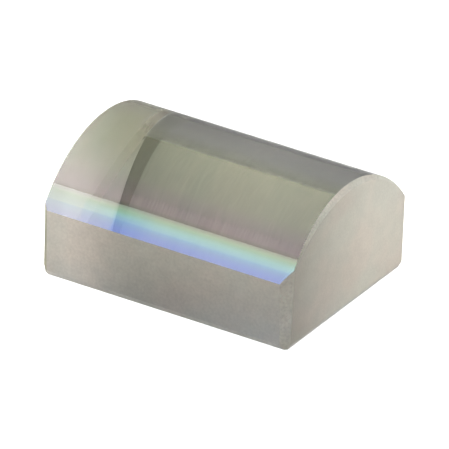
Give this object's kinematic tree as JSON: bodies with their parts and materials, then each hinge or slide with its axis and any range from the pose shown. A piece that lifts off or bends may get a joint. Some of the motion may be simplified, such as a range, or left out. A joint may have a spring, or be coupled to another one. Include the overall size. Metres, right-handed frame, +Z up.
{
  "type": "cylindrical lens",
  "caption": "Rectangular plano-convex cylindrical lens in clear glass: polished half-round top, flat polished base, fine-ground sides and ends with bevelled edges.",
  "frame": {"origin": "middle of the flat polished base, which is also the bottom centre of the bounding box", "axes": "+X along the axis of the curved face (the direction with no optical power), +Y across it, +Z up from the flat base to the crest of the curved face"},
  "size_m": [0.025, 0.02, 0.0119],
  "materials": {
    "glass": "polished curved top and flat base, fine-ground matt sides, ends and bevels"
  },
  "bodies": {
    "root": {"lens": "glass"}
  },
  "joints": []
}
